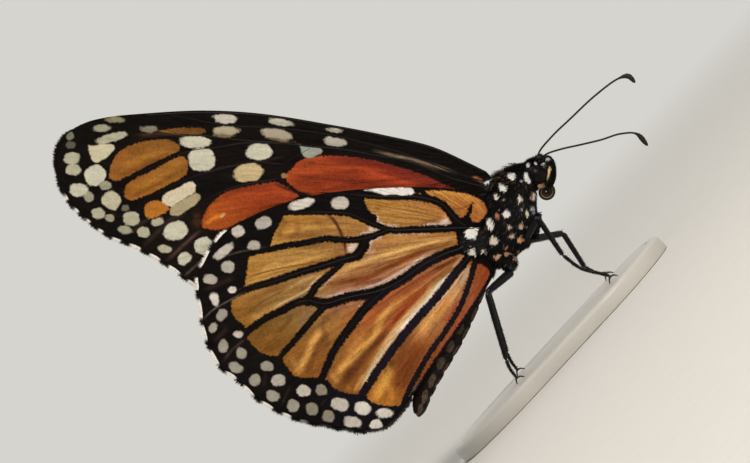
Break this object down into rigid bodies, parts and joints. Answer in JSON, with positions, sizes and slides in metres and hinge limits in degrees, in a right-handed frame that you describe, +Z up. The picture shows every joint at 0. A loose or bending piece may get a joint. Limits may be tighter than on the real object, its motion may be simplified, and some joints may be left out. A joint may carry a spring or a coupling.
{
  "type": "butterfly",
  "caption": "Life-size monarch butterfly at rest with its wings closed over its back, standing on a flat oval display base.",
  "frame": {"origin": "centre of the display base's flat underside", "axes": "+X forwards, the way the head points; +Y the animal's left; +Z up"},
  "size_m": [0.0565, 0.022, 0.0598],
  "materials": {
    "cuticle": "black insect cuticle under short black hair and white scale spots",
    "eye": "dark brown compound eye, softly glossy",
    "forewing": "wing membrane under dull powdery scales, red-orange with black veins and pale spots",
    "hindwing": "wing membrane under dull powdery scales, ochre with black veins and white margin spots",
    "stand": "plain pale painted base, satin"
  },
  "bodies": {
    "root": {"stand_base": "stand", "thorax": "cuticle", "abdomen": "cuticle", "head": "cuticle", "eye_right": "eye", "eye_left": "eye", "palp_right": "cuticle", "palp_left": "cuticle", "proboscis": "cuticle", "antenna_right": "cuticle", "antenna_left": "cuticle", "forewing_right": "forewing", "forewing_left": "forewing", "hindwing_right": "hindwing", "hindwing_left": "hindwing", "foreleg_right": "cuticle", "foreleg_left": "cuticle", "midleg_right": "cuticle", "midleg_left": "cuticle", "hindleg_right": "cuticle", "hindleg_left": "cuticle"}
  },
  "joints": []
}
